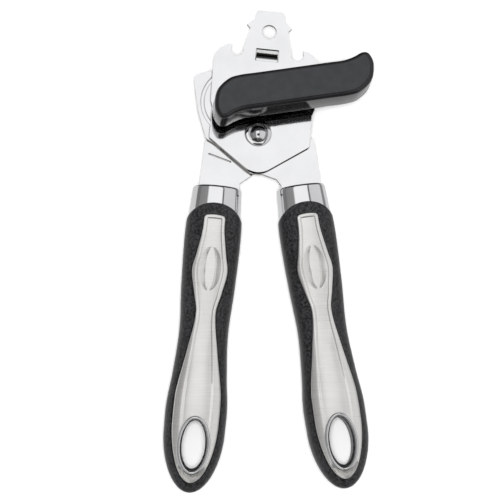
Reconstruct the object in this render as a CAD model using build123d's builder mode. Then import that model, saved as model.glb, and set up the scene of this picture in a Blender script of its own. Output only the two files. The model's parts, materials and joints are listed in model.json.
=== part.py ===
from build123d import *
import os
from math import acos, asin, atan2, cos, degrees, hypot, pi, radians, sin, tan

# Manual can opener lying on its back, turning knob up.  Millimetres and degrees.
# Everything is drawn from the main pivot, with z = 0 on the surface it lies on.
# A lever's own frame is centred on that pivot, with its handle running along -Y;
# the two lever frames coincide when the handles are squeezed together.

# ---------------------------------------------------------------- driving sizes
# Levers
LEFT_LEAN = -5.1            # turn of the left lever as drawn, half open
RIGHT_LEAN = 8.2            # turn of the right lever as drawn
HANDLE_OFFSET = 15.0        # handle axis to the side of the pivot
NECK_SIDES = {"left": (-7.8, 9.2), "right": (-8.2, 9.0)}    # arm's neck, across from the handle's axis
HANDLE_HEIGHT = 9.5         # handle middle plane above the surface
ARM_SHEET = 2.0             # sheet of both lever arms
FRONT_SHEET = 1.8           # sheet of the front plate
ARM_LEVEL = 7.4             # underside of the left arm
LAYER_GAP = 0.15            # between neighbouring plates

# Handle: distance from the pivot, width and thickness, waisted for the fingers
HANDLE_STATIONS = (
    (26.0, 21.4, 17.0),
    (44.0, 23.8, 18.4),
    (68.0, 22.6, 18.2),
    (87.0, 20.6, 17.2),
    (105.0, 22.8, 17.8),
    (123.0, 26.2, 19.0),
    (137.0, 23.2, 17.8),
    (146.5, 16.6, 13.6),
    (151.8, 8.0, 7.6),
)
HANDLE_TIP = 153.6          # far end of the grip
SQUARENESS = 2.5            # 2 is an oval section, more is squarer
FERRULE_TOP = 25.0          # pivot to the ferrule's closed end
FERRULE_CAP = 1.5           # thickness of that closed end
FERRULE_SIZES = ((0.0, 20.6, 16.4), (14.5, 22.2, 17.4))   # drop, width, thickness
FERRULE_ROUND = 1.2
ARCH_RADIUS = 14.2          # arched end of the grip, seen from above
ARCH_TOP = 32.6             # pivot to the top of that arch
ARCH_GAP = 0.1              # between ferrule and grip
GRIP_START = 28.0           # rubber begins here, before the arch is cut
RUBBER = 3.0                # rubber outside the core
CORE_END = 117.0            # pivot to the end of the core
ARM_NECK_REACH = 9.3        # slot in the ferrule, half its width
TANG_WIDTH = 12.0
TANG_END = 72.0
TANG_PIN_RADIUS = 1.5
TANG_PIN_DROPS = (46.0, 64.0)
TANG_PIN_LENGTH = 11.0
SEAT_FIT = 0.05             # all round between seated pieces of one lever

# Inlay on the front of each handle: half width at a distance from the pivot
INLAY_TOP = 38.6
INLAY_EDGE = (
    (4.4, 38.6), (4.6, 45.0), (6.2, 55.0), (7.4, 62.0), (5.8, 71.0), (4.1, 80.0),
    (6.2, 95.0), (9.2, 112.0), (9.5, 125.0), (7.4, 138.0), (3.6, 146.6), (0.0, 149.6),
)
INLAY_PROUD = 0.45          # inlay above the rubber
INLAY_DEPTH = 1.0           # inlay below the rubber
INLAY_GROOVE = 0.5          # shadow gap around the inlay
THUMB_DISH_AT = 61.0
THUMB_DISH_LENGTH = 18.0
THUMB_DISH_WIDTH = 9.6
THUMB_DISH_DEPTH = 0.8
EYE_AT = 134.4              # pivot to the middle of the hanging eye
EYE_HALF_WIDTH = 5.3
EYE_HALF_LENGTH = 10.4
EYE_RIM = 1.15              # rolled rim around the eye
EYE_RIM_PROUD = 1.05
THROAT_HALF_WIDTH = 4.7     # eye through the rubber, inside the rolled rim
THROAT_HALF_LENGTH = 9.6
THROAT_SHIFT = 0.5          # throat nearer to the pivot than the rim
THROAT_FLARE = 1.2          # how much wider it is all round at the back

# Pressed marks in the arms
CREASE_AT = (-15.2, -11.5)  # across the shoulder of the left arm
CREASE_TURN = -15.3
CREASE_SIZE = (10.5, 0.8)
CREASE_DEPTH = 0.5
DISH_RADII = (13.4, 15.2)   # ring round the cutter's axle in the right arm
DISH_DEPTH = 0.6
DISH_COVERED = (15.0, -4.0) # middle of the part of that ring left out
DISH_COVER = (30.0, 40.0)

# Front plate, symmetric about a line beside the pivot.  Half outlines from that line
PLATE_CENTRE = 0.9
NOTCH = ((10.4, 36.8), (13.1, 33.3), (15.8, 36.4))      # bottle-opening notch
HOOK = ((15.4, 38.5), (20.3, 36.2), (22.9, 31.0))       # hook outside the notch
PLATE_NECK = ((5.6, 54.6), (6.6, 52.6), (7.0, 49.6), (9.8, 47.9), (8.3, 46.3), (8.8, 43.0), NOTCH[0])
PLATE_FLANK = (HOOK[-1], (22.4, 12.6), (21.4, 9.8), (21.5, -3.8), (0.0, -19.0))
PLATE_POINT_ROUND = 9.0
PLATE_CORNER_ROUND = 0.9
HANG_HOLE_AT = 45.3
HANG_HOLE_RADIUS = 3.25
WINDOW = (10.1, 5.6)        # slot with the lifting lip
WINDOW_AT = 34.8
WINDOW_ROUND = 0.5
LIP_RADIUS = 4.9            # bend of the lip behind the window
LIP_SHEET = 0.8
LIP_SIDE_GAP = 0.4

# Broken edges of rivet feet and of washers
FOOT_EDGE = 0.4
WASHER_EDGE = 0.35

# Main pivot
PIVOT_RADIUS = 3.0
PIVOT_FIT = 0.05
PIVOT_DOME_RADIUS = 3.9
PIVOT_DOME_HEIGHT = 2.2
PIVOT_WASHER_RADIUS = 5.5
PIVOT_WASHER_SHEET = 0.8
PIVOT_FOOT_RADIUS = 4.5
PIVOT_FOOT_HEIGHT = 1.4

# Axes of the turning parts, each in its own lever's frame
SPINDLE_AT = (12.7, 17.6)   # left lever
CUTTER_AT = (-7.4, 15.2)    # right lever

# Gears, in mesh when the handles are squeezed
TEETH = 12
PRESSURE_ANGLE = 25.0
ADDENDUM = 0.87             # in modules
DEDENDUM = 1.10
BACKLASH = 0.25             # off each gear's tooth
GEAR_WIDTH = 2.2
GEAR_LEVEL = 4.5

# Spindle
SHAFT_RADIUS = 3.5
SHAFT_FIT = 0.05
SHAFT_FLAT = 5.0            # across the two flats
SHAFT_FOOT_RADIUS = 5.0
FEED_RADIUS = 9.2
FEED_LEVEL = 1.8
FEED_TEETH = 24
FEED_TOOTH_DEPTH = 0.7
BUSHING_WALL = 1.5
BUSHING_FLANGE_RADIUS = 6.2
BUSHING_FLANGE = 1.1
THRUST_RADIUS = 6.0
THRUST_GAP = 0.08

# Cutter
STUD_RADIUS = 2.5
STUD_FOOT_RADIUS = 4.2
STUD_FOOT = 1.0
CUTTER_FIT = 0.05
CUTTER_BUSH_RADIUS = 3.5
CUTTER_RADIUS = 11.5
CUTTER_LEVEL = 1.15
CUTTER_THICKNESS = 1.6
CUTTER_BEVEL = 3.0
CUTTER_HUB_RADIUS = 5.0
CUTTER_SPACER_RADIUS = 3.9

# Knob, centrally symmetric, drawn level and then turned
KNOB_TURN = 14.3            # in the left lever's frame
KNOB_LEVEL = 19.4
KNOB_HEIGHT = 13.6
KNOB_HALF_WIDTH = 8.1
KNOB_STRAIGHT = 22.0        # half length of the straight flanks
KNOB_NOSE = ((26.5, 9.0), (30.6, 10.4), (33.6, 9.3), (35.0, 4.4), (32.9, -2.6), (27.4, -7.0))
KNOB_WALL = 2.0
KNOB_ROUND = 1.2
KNOB_HUB_RADIUS = 5.2
KNOB_RIB = 1.6
KNOB_RIB_SPACING = 12.0
KNOB_RIB_LIFT = 1.0         # ribs stop short of the knob's rim
SHAFT_DEPTH = 4.0           # shaft's end below the knob's face

# Rivets that hold the front plate off the left arm
SPACER_AT = ((20.0, 23.5), (8.0, 25.5))
SPACER_RADIUS = 3.2
SPACER_SHANK = 1.9

# ---------------------------------------------------------------- derived sizes
RIGHT_ARM_LEVEL = ARM_LEVEL + ARM_SHEET + LAYER_GAP
FRONT_LEVEL = RIGHT_ARM_LEVEL + ARM_SHEET + LAYER_GAP
FRONT_TOP = FRONT_LEVEL + FRONT_SHEET
GEAR_TOP = GEAR_LEVEL + GEAR_WIDTH
SHOULDER = -(FERRULE_TOP + FERRULE_CAP - SEAT_FIT)
SHAFT_TOP = KNOB_LEVEL + KNOB_HEIGHT - SHAFT_DEPTH
HUB_LEVEL = FRONT_TOP + BUSHING_FLANGE + THRUST_GAP
CENTRE_LINE = (CUTTER_AT[0] - SPINDLE_AT[0], CUTTER_AT[1] - SPINDLE_AT[1])
MESH_ANGLE = degrees(atan2(CENTRE_LINE[1], CENTRE_LINE[0]))
PITCH_RADIUS = hypot(*CENTRE_LINE) / 2
MODULE = 2 * PITCH_RADIUS / TEETH
CLOSED_TURN = LEFT_LEAN - RIGHT_LEAN
SIDES = ("left", "right")
LEAN = {"left": LEFT_LEAN, "right": RIGHT_LEAN}
OFFSET = {"left": -HANDLE_OFFSET, "right": HANDLE_OFFSET}
LEVEL = {"left": ARM_LEVEL, "right": RIGHT_ARM_LEVEL}


# ---------------------------------------------------------------- frames
def lever_plane(side, height=0.0, at=(0.0, 0.0), turn=0.0):
    """Level plane in a lever's frame, at a point of it and turned further."""
    return Plane(Location((0, 0, 0), (0, 0, LEAN[side])) * Location((*at, height), (0, 0, turn)))


def handle_plane(side, height=0.0, drop=0.0):
    """Level plane on a handle's axis, at a distance below the pivot."""
    return lever_plane(side, height, at=(OFFSET[side], -drop))


def handle_section(side, drop):
    """Plane square to a handle's axis."""
    level = handle_plane(side, HANDLE_HEIGHT, drop)
    return Plane(origin=level.origin, x_dir=level.x_dir, z_dir=-level.y_dir)


def spindle_plane(height, turn=0.0):
    return lever_plane("left", height, SPINDLE_AT, turn)


def cutter_plane(height, turn=0.0):
    return lever_plane("right", height, CUTTER_AT, turn)


# ---------------------------------------------------------------- shared shapes
def interpolated(drop):
    """Handle width and thickness at a distance from the pivot."""
    rows = HANDLE_STATIONS
    for (d0, w0, t0), (d1, w1, t1) in zip(rows, rows[1:]):
        if drop <= d1:
            share = (drop - d0) / (d1 - d0)
            return w0 + share * (w1 - w0), t0 + share * (t1 - t0)
    return rows[-1][1:]


def squared_oval(width, thickness):
    """Closed curve between an oval and a rectangle, as one smooth edge."""
    points = []
    for step in range(16):
        angle = 2 * pi * step / 16
        across, up = cos(angle), sin(angle)
        reach = (abs(across) ** SQUARENESS + abs(up) ** SQUARENESS) ** (-1 / SQUARENESS)
        points.append((across * reach * width / 2, up * reach * thickness / 2))
    return points


def handle_form(side, grow=0.0, start=HANDLE_STATIONS[0][0], end=None):
    """Handle's outer form, grown or shrunk all round, as a private solid."""
    inner = [row[0] for row in HANDLE_STATIONS if row[0] > start and (end is None or row[0] < end)]
    drops = [start, *inner] + ([] if end is None else [end])
    sections = []
    for drop in drops:
        width, thickness = interpolated(drop)
        with BuildSketch(handle_section(side, drop)) as section:
            with BuildLine():
                Spline(*squared_oval(width + 2 * grow, thickness + 2 * grow), periodic=True)
            make_face()
        sections.append(section.sketch.face())
    if end is None:
        sections.append(Vertex(*handle_section(side, HANDLE_TIP + grow).origin))
    return Solid.make_loft([s if isinstance(s, Vertex) else s.outer_wire() for s in sections])


def inlay_face(side, height, grow=0.0):
    """Inlay outline, grown all round."""
    edge = [(x + grow * (x > 0), -y) for x, y in INLAY_EDGE[:-1]]
    tip = (0.0, -(INLAY_EDGE[-1][1] + grow))
    top = -(INLAY_TOP - grow)
    with BuildSketch(handle_plane(side, height)) as outline:
        with BuildLine():
            Line((-edge[0][0], top), (edge[0][0], top))
            right = [(edge[0][0], top), *edge[1:]]
            left = [(-x, y) for x, y in reversed(right)]
            Spline(*right, tip, *left)
        make_face()
    return outline.sketch


def eye_face(side, height, grow=0.0):
    with BuildSketch(handle_plane(side, height, EYE_AT)) as eye:
        Ellipse(EYE_HALF_WIDTH + grow, EYE_HALF_LENGTH + grow)
    return eye.sketch


def throat(side):
    """Flared bar through the rubber under the eye, as a private solid."""
    with BuildPart() as bar:
        for height, wide in ((0, THROAT_FLARE), (2 * HANDLE_HEIGHT, 0)):
            with BuildSketch(handle_plane(side, height, EYE_AT - THROAT_SHIFT)):
                Ellipse(THROAT_HALF_WIDTH + wide, THROAT_HALF_LENGTH + wide)
        loft()
    return bar.part


def double_flat(plane, radius, across):
    """Round bar with two flats, as a sketch."""
    with BuildSketch(plane) as bar:
        Circle(radius)
        Rectangle(2 * radius, across, mode=Mode.INTERSECT)
    return bar.sketch


# ---------------------------------------------------------------- lever arms
def arm_tang(side):
    """Tongue of an arm inside its handle, drawn in the arm's own sketch."""
    x = OFFSET[side]
    middle = -(FERRULE_TOP + TANG_END) / 2
    with Locations((x, middle)):
        Rectangle(TANG_WIDTH, TANG_END - FERRULE_TOP)


def tang_holes(side):
    with Locations(*[(OFFSET[side], -drop) for drop in TANG_PIN_DROPS]):
        Hole(TANG_PIN_RADIUS + SEAT_FIT / 2)


with BuildPart() as left_arm:
    with BuildSketch(lever_plane("left", ARM_LEVEL)) as left_arm_outline:
        with BuildLine():
            outer, inner = (-HANDLE_OFFSET + x for x in NECK_SIDES["left"])
            Polyline((outer, SHOULDER), (outer, -22.8), (-22.2, -5.0), (-9.0, 5.0), (-2.0, 10.0),
                     (1.0, 18.0), (3.6, 29.0), (21.6, 29.0), (21.6, 11.0), (14.0, 4.0), (9.0, -3.0),
                     (6.0, -11.0), (-1.8, -18.5), (inner, -21.9), (inner, SHOULDER), close=True)
        make_face()
        fillet(left_arm_outline.vertices().filter_by(lambda v: v.Y > -20), 1.6)
        arm_tang("left")
    extrude(amount=ARM_SHEET)
    with Locations(lever_plane("left", ARM_LEVEL + ARM_SHEET)):
        Hole(PIVOT_RADIUS + SEAT_FIT / 2)
        tang_holes("left")
        with Locations(SPINDLE_AT):
            Hole(SHAFT_RADIUS + SHAFT_FIT + BUSHING_WALL + SEAT_FIT / 2)
        with Locations(*SPACER_AT):
            Hole(SPACER_SHANK + SEAT_FIT / 2)
    # pressed crease across the shoulder of the arm
    with BuildSketch(lever_plane("left", ARM_LEVEL + ARM_SHEET, CREASE_AT, CREASE_TURN)):
        SlotOverall(*CREASE_SIZE)
    extrude(amount=-CREASE_DEPTH, mode=Mode.SUBTRACT)

with BuildPart() as right_arm:
    with BuildSketch(lever_plane("right", RIGHT_ARM_LEVEL)) as right_arm_outline:
        with BuildLine():
            inner, outer = (HANDLE_OFFSET + x for x in NECK_SIDES["right"])
            Polyline((inner, SHOULDER), (inner, -23.6), (5.3, -20.6), (-0.5, -17.6), (-5.5, -16.6),
                     (-16.0, -4.0), (-22.3, 1.2), (-23.9, 13.4), (-23.9, 29.2), (-11.2, 30.9),
                     (-6.0, 30.4), (4.0, 14.0), (9.0, 3.0), (13.0, -2.0), (23.4, -5.0),
                     (23.8, -8.6), (outer, SHOULDER), close=True)
        make_face()
        fillet(right_arm_outline.vertices().filter_by(lambda v: v.Y > -16), 1.8)
        arm_tang("right")
    extrude(amount=ARM_SHEET)
    with Locations(lever_plane("right", RIGHT_ARM_LEVEL + ARM_SHEET)):
        Hole(PIVOT_RADIUS + PIVOT_FIT)
        tang_holes("right")
        with Locations(CUTTER_AT):
            Hole(STUD_RADIUS + SEAT_FIT / 2)
    with BuildSketch(lever_plane("right", RIGHT_ARM_LEVEL + ARM_SHEET, CUTTER_AT)):
        Circle(DISH_RADII[1])
        Circle(DISH_RADII[0], mode=Mode.SUBTRACT)
        # the ring stops where the plate is covered for good
        with Locations(DISH_COVERED):
            Rectangle(*DISH_COVER, mode=Mode.SUBTRACT)
    extrude(amount=-DISH_DEPTH, mode=Mode.SUBTRACT)

# ---------------------------------------------------------------- front plate
with BuildPart() as front_plate:
    with BuildSketch(lever_plane("left", FRONT_LEVEL, (PLATE_CENTRE, 0))) as front_outline:
        with BuildLine():
            for sign in (1, -1):
                Polyline(*[(sign * x, y) for x, y in PLATE_NECK])
                ThreePointArc(*[(sign * x, y) for x, y in NOTCH])
                Line(*[(sign * x, y) for x, y in (NOTCH[-1], HOOK[0])])
                ThreePointArc(*[(sign * x, y) for x, y in HOOK])
                Polyline(*[(sign * x, y) for x, y in PLATE_FLANK])
            Line((-PLATE_NECK[0][0], PLATE_NECK[0][1]), PLATE_NECK[0])
        make_face()
        point = front_outline.vertices().group_by(Axis.Y)[0]
        fillet(point, PLATE_POINT_ROUND)
        corners = front_outline.vertices().filter_by(lambda v: v.Y > 50 or -12 < v.Y < 20)
        fillet(corners, PLATE_CORNER_ROUND)
        with Locations((0, HANG_HOLE_AT)):
            Circle(HANG_HOLE_RADIUS, mode=Mode.SUBTRACT)
        with Locations((0, WINDOW_AT)):
            RectangleRounded(*WINDOW, WINDOW_ROUND, mode=Mode.SUBTRACT)
    extrude(amount=FRONT_SHEET)
    with Locations(lever_plane("left", FRONT_TOP)):
        Hole(PIVOT_RADIUS + SEAT_FIT / 2)
        with Locations(SPINDLE_AT):
            Hole(SHAFT_RADIUS + SHAFT_FIT + BUSHING_WALL + SEAT_FIT / 2)
        with Locations(*SPACER_AT):
            Hole(SPACER_SHANK + SEAT_FIT / 2)
    # lip curled back from the window's lower edge
    lip_plane = lever_plane("left", FRONT_LEVEL + FRONT_SHEET / 2, (PLATE_CENTRE, WINDOW_AT))
    side_view = Plane(origin=lip_plane.origin, x_dir=lip_plane.y_dir, z_dir=lip_plane.x_dir)
    with BuildSketch(side_view):
        bend = (-WINDOW[1] / 2, -LIP_RADIUS)
        with Locations(bend):
            Circle(LIP_RADIUS + LIP_SHEET / 2)
            Circle(LIP_RADIUS - LIP_SHEET / 2, mode=Mode.SUBTRACT)
            with Locations((-LIP_RADIUS, 0)):
                Rectangle(2 * LIP_RADIUS, 4 * LIP_RADIUS, mode=Mode.SUBTRACT)
    extrude(amount=WINDOW[0] / 2 - LIP_SIDE_GAP, both=True)

# ---------------------------------------------------------------- main pivot
with BuildPart() as pivot_rivet:
    with BuildSketch(lever_plane("left", ARM_LEVEL - PIVOT_FOOT_HEIGHT)):
        Circle(PIVOT_FOOT_RADIUS)
    extrude(amount=PIVOT_FOOT_HEIGHT)
    chamfer(pivot_rivet.edges().group_by(Axis.Z)[0], FOOT_EDGE)
    with BuildSketch(lever_plane("left", ARM_LEVEL)):
        Circle(PIVOT_RADIUS)
    extrude(amount=FRONT_TOP + PIVOT_WASHER_SHEET - ARM_LEVEL)
    # domed head, the cap of a ball
    ball = (PIVOT_DOME_RADIUS ** 2 + PIVOT_DOME_HEIGHT ** 2) / (2 * PIVOT_DOME_HEIGHT)
    latitude = degrees(asin(1 - PIVOT_DOME_HEIGHT / ball))
    with Locations((0, 0, FRONT_TOP + PIVOT_WASHER_SHEET)):
        Sphere(ball, arc_size1=latitude, align=(Align.CENTER, Align.CENTER, Align.MIN))

with BuildPart() as pivot_washer:
    with BuildSketch(lever_plane("left", FRONT_TOP)):
        Circle(PIVOT_WASHER_RADIUS)
        Circle(PIVOT_RADIUS + SEAT_FIT, mode=Mode.SUBTRACT)
    extrude(amount=PIVOT_WASHER_SHEET)
    chamfer(pivot_washer.edges().group_by(Axis.Z)[-1].sort_by(SortBy.RADIUS)[-1], WASHER_EDGE)

with BuildPart() as plate_spacers:
    for spot in SPACER_AT:
        with BuildSketch(lever_plane("left", ARM_LEVEL, spot)):
            Circle(SPACER_SHANK)
        extrude(amount=FRONT_TOP - ARM_LEVEL)
        with BuildSketch(lever_plane("left", ARM_LEVEL + ARM_SHEET, spot)):
            Circle(SPACER_RADIUS)
        extrude(amount=FRONT_LEVEL - ARM_LEVEL - ARM_SHEET)

# ---------------------------------------------------------------- handles
def ferrule(side):
    with BuildPart() as piece:
        for drop, width, thickness in FERRULE_SIZES:
            with BuildSketch(handle_section(side, FERRULE_TOP + drop)):
                with BuildLine():
                    Spline(*squared_oval(width, thickness), periodic=True)
                make_face()
        loft()
        cap = piece.faces().filter_by(GeomType.PLANE).sort_by(Axis.Y)[-1]
        fillet(cap.edges(), FERRULE_ROUND)
        add(handle_form(side, SEAT_FIT - RUBBER, FERRULE_TOP + FERRULE_CAP, TANG_END), mode=Mode.SUBTRACT)
        with BuildSketch(handle_plane(side, 0, ARCH_TOP + ARCH_RADIUS)):
            Circle(ARCH_RADIUS + ARCH_GAP)
        extrude(amount=4 * HANDLE_HEIGHT, mode=Mode.SUBTRACT)
        slot = handle_plane(side, LEVEL[side] - SEAT_FIT, FERRULE_TOP)
        with BuildSketch(slot):
            Rectangle(2 * ARM_NECK_REACH, 4 * FERRULE_CAP)
        extrude(amount=ARM_SHEET + 2 * SEAT_FIT, mode=Mode.SUBTRACT)
    return piece


def core(side):
    with BuildPart() as piece:
        add(handle_form(side, -RUBBER, FERRULE_TOP + FERRULE_CAP + SEAT_FIT, CORE_END))
        middle = (FERRULE_TOP + TANG_END) / 2
        with BuildSketch(handle_plane(side, LEVEL[side] - SEAT_FIT, middle)):
            Rectangle(TANG_WIDTH + 2 * SEAT_FIT, TANG_END - FERRULE_TOP + 2 * SEAT_FIT)
        extrude(amount=ARM_SHEET + 2 * SEAT_FIT, mode=Mode.SUBTRACT)
        for drop in TANG_PIN_DROPS:
            with BuildSketch(handle_plane(side, HANDLE_HEIGHT, drop)):
                Circle(TANG_PIN_RADIUS + SEAT_FIT / 2)
            extrude(amount=TANG_PIN_LENGTH / 2 + SEAT_FIT, both=True, mode=Mode.SUBTRACT)
    return piece


def tang_pins(side):
    with BuildPart() as piece:
        for drop in TANG_PIN_DROPS:
            with BuildSketch(handle_plane(side, HANDLE_HEIGHT, drop)):
                Circle(TANG_PIN_RADIUS)
            extrude(amount=TANG_PIN_LENGTH / 2, both=True)
    return piece


def grip(side):
    with BuildPart() as piece:
        add(handle_form(side, 0.0, GRIP_START))
        # arched upper end
        with BuildSketch(handle_plane(side, -HANDLE_HEIGHT, ARCH_TOP + ARCH_RADIUS)):
            Circle(ARCH_RADIUS)
            with Locations((0, -HANDLE_TIP / 2)):
                Rectangle(4 * ARCH_RADIUS, HANDLE_TIP)
        extrude(amount=4 * HANDLE_HEIGHT, mode=Mode.INTERSECT)
        add(handle_form(side, SEAT_FIT - RUBBER, FERRULE_TOP + FERRULE_CAP, CORE_END + SEAT_FIT),
            mode=Mode.SUBTRACT)
        with BuildPart(mode=Mode.PRIVATE) as pocket:
            add(inlay_face(side, HANDLE_HEIGHT, INLAY_GROOVE))
            extrude(amount=2 * HANDLE_HEIGHT)
            add(handle_form(side, -INLAY_DEPTH - SEAT_FIT), mode=Mode.SUBTRACT)
        add(pocket.part, mode=Mode.SUBTRACT)
        add(throat(side), mode=Mode.SUBTRACT)
    return piece


def thumb_dish(side):
    """Barrel whose lowest strip hollows the inlay."""
    half, deep = THUMB_DISH_LENGTH / 2, THUMB_DISH_DEPTH
    bow = (half ** 2 + deep ** 2) / (2 * deep)
    barrel = ((THUMB_DISH_WIDTH / 2) ** 2 + deep ** 2) / (2 * deep)
    crown = HANDLE_HEIGHT + interpolated(THUMB_DISH_AT)[1] / 2 + INLAY_PROUD
    level = handle_plane(side, crown - deep + barrel, THUMB_DISH_AT)
    side_view = Plane(origin=level.origin, x_dir=level.y_dir, z_dir=level.x_dir)
    with BuildPart() as dish:
        with BuildSketch(side_view):
            with BuildLine():
                reach = 1.6 * half
                end = (reach, -(barrel - reach ** 2 / (2 * bow)))
                ThreePointArc((-end[0], end[1]), (0, -barrel), end)
                Polyline(end, (reach, 0), (-reach, 0), (-end[0], end[1]))
            make_face()
        revolve(axis=Axis(level.origin, level.y_dir), revolution_arc=360)
    return dish.part


def inlay(side):
    with BuildPart() as piece:
        add(inlay_face(side, HANDLE_HEIGHT))
        extrude(amount=2 * HANDLE_HEIGHT)
        add(handle_form(side, INLAY_PROUD), mode=Mode.INTERSECT)
        with BuildPart(mode=Mode.PRIVATE) as rim:
            add(eye_face(side, HANDLE_HEIGHT, EYE_RIM))
            extrude(amount=2 * HANDLE_HEIGHT)
            add(handle_form(side, EYE_RIM_PROUD), mode=Mode.INTERSECT)
        add(rim.part)
        add(handle_form(side, -INLAY_DEPTH), mode=Mode.SUBTRACT)
        add(thumb_dish(side), mode=Mode.SUBTRACT)
        add(eye_face(side, 0))
        extrude(amount=4 * HANDLE_HEIGHT, mode=Mode.SUBTRACT)
    return piece


# ---------------------------------------------------------------- gears
def involute_half_angle(radius):
    """Half the angle of a tooth at a radius."""
    at_pitch = (pi * MODULE / 2 - BACKLASH) / (2 * PITCH_RADIUS)
    base = PITCH_RADIUS * cos(radians(PRESSURE_ANGLE))
    slope = acos(base / max(radius, base))
    press = radians(PRESSURE_ANGLE)
    return at_pitch + (tan(press) - press) - (tan(slope) - slope)


def gear_face(plane):
    """Spur gear with one tooth pointing along the plane's x direction."""
    root = PITCH_RADIUS - DEDENDUM * MODULE
    base = PITCH_RADIUS * cos(radians(PRESSURE_ANGLE))
    tip = PITCH_RADIUS + ADDENDUM * MODULE
    flank = [(r * cos(a), r * sin(a)) for r, a in
             ((r, involute_half_angle(r)) for r in (base, (base + tip) / 2, tip))]
    foot = involute_half_angle(base)
    start = ((root - 0.3) * cos(foot), (root - 0.3) * sin(foot))
    with BuildSketch() as tooth:
        with BuildLine():
            Line(start, flank[0])
            Spline(*flank)
            ThreePointArc(flank[-1], (tip, 0), (flank[-1][0], -flank[-1][1]))
            Spline(*[(x, -y) for x, y in reversed(flank)])
            Polyline((flank[0][0], -flank[0][1]), (start[0], -start[1]), start)
        make_face()
    with BuildSketch(plane) as gear:
        Circle(root)
        with PolarLocations(0, TEETH):
            add(tooth.sketch)
    return gear.sketch


# ---------------------------------------------------------------- spindle
with BuildPart() as drive_shaft:
    with BuildSketch(spindle_plane(0)):
        Circle(SHAFT_FOOT_RADIUS)
    extrude(amount=FEED_LEVEL - SEAT_FIT)
    chamfer(drive_shaft.edges().group_by(Axis.Z)[0], FOOT_EDGE)
    add(double_flat(spindle_plane(FEED_LEVEL - SEAT_FIT), SHAFT_RADIUS, SHAFT_FLAT))
    extrude(amount=SHAFT_TOP - FEED_LEVEL + SEAT_FIT)
    with BuildSketch(spindle_plane(GEAR_TOP + SEAT_FIT)):
        Circle(SHAFT_RADIUS)
    extrude(amount=HUB_LEVEL - GEAR_TOP - SEAT_FIT)

with BuildPart() as feed_wheel:
    with BuildSketch(spindle_plane(FEED_LEVEL)):
        Circle(FEED_RADIUS)
        with PolarLocations(FEED_RADIUS, FEED_TEETH):
            RegularPolygon(FEED_TOOTH_DEPTH, 3, rotation=180, mode=Mode.SUBTRACT)
    extrude(amount=GEAR_LEVEL - FEED_LEVEL - SEAT_FIT)
    add(double_flat(spindle_plane(0), SHAFT_RADIUS + SEAT_FIT, SHAFT_FLAT + 2 * SEAT_FIT))
    extrude(amount=GEAR_TOP, mode=Mode.SUBTRACT)

with BuildPart() as drive_gear:
    add(gear_face(spindle_plane(GEAR_LEVEL, MESH_ANGLE)))
    extrude(amount=GEAR_WIDTH)
    add(double_flat(spindle_plane(0), SHAFT_RADIUS + SEAT_FIT, SHAFT_FLAT + 2 * SEAT_FIT))
    extrude(amount=2 * GEAR_TOP, mode=Mode.SUBTRACT)

with BuildPart() as thrust_washer:
    with BuildSketch(spindle_plane(GEAR_TOP + SEAT_FIT)):
        Circle(THRUST_RADIUS)
        Circle(SHAFT_RADIUS + SEAT_FIT, mode=Mode.SUBTRACT)
    extrude(amount=ARM_LEVEL - GEAR_TOP - SEAT_FIT - THRUST_GAP)

with BuildPart() as spindle_bushing:
    bush_radius = SHAFT_RADIUS + SHAFT_FIT + BUSHING_WALL
    with BuildSketch(spindle_plane(ARM_LEVEL)):
        Circle(bush_radius)
    extrude(amount=FRONT_TOP - ARM_LEVEL)
    with BuildSketch(spindle_plane(FRONT_TOP)):
        Circle(BUSHING_FLANGE_RADIUS)
    extrude(amount=BUSHING_FLANGE)
    chamfer(spindle_bushing.edges().group_by(Axis.Z)[-1], WASHER_EDGE)
    with BuildSketch(spindle_plane(0)):
        Circle(SHAFT_RADIUS + SHAFT_FIT)
    extrude(amount=2 * FRONT_TOP, mode=Mode.SUBTRACT)


def knob_nose(shrink):
    """Points round one end of the knob, drawn in square to the outline."""
    ends = [(KNOB_STRAIGHT, KNOB_HALF_WIDTH), *KNOB_NOSE, (KNOB_STRAIGHT, -KNOB_HALF_WIDTH)]
    points = [(KNOB_STRAIGHT, KNOB_HALF_WIDTH - shrink)]
    for before, here, after in zip(ends, ends[1:], ends[2:]):
        run, rise = after[0] - before[0], after[1] - before[1]
        length = hypot(run, rise)
        points.append((here[0] + shrink * rise / length, here[1] - shrink * run / length))
    return [*points, (KNOB_STRAIGHT, shrink - KNOB_HALF_WIDTH)]


def knob_face(plane, shrink=0.0):
    """Knob outline, drawn in by a wall."""
    with BuildSketch(plane) as outline:
        with BuildLine():
            for sign in (1, -1):
                nose = [(sign * x, sign * y) for x, y in knob_nose(shrink)]
                Line((-nose[0][0], nose[0][1]), nose[0])
                Spline(*nose, tangents=[(sign, 0), (-sign, 0)])
        make_face()
    return outline.sketch


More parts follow.
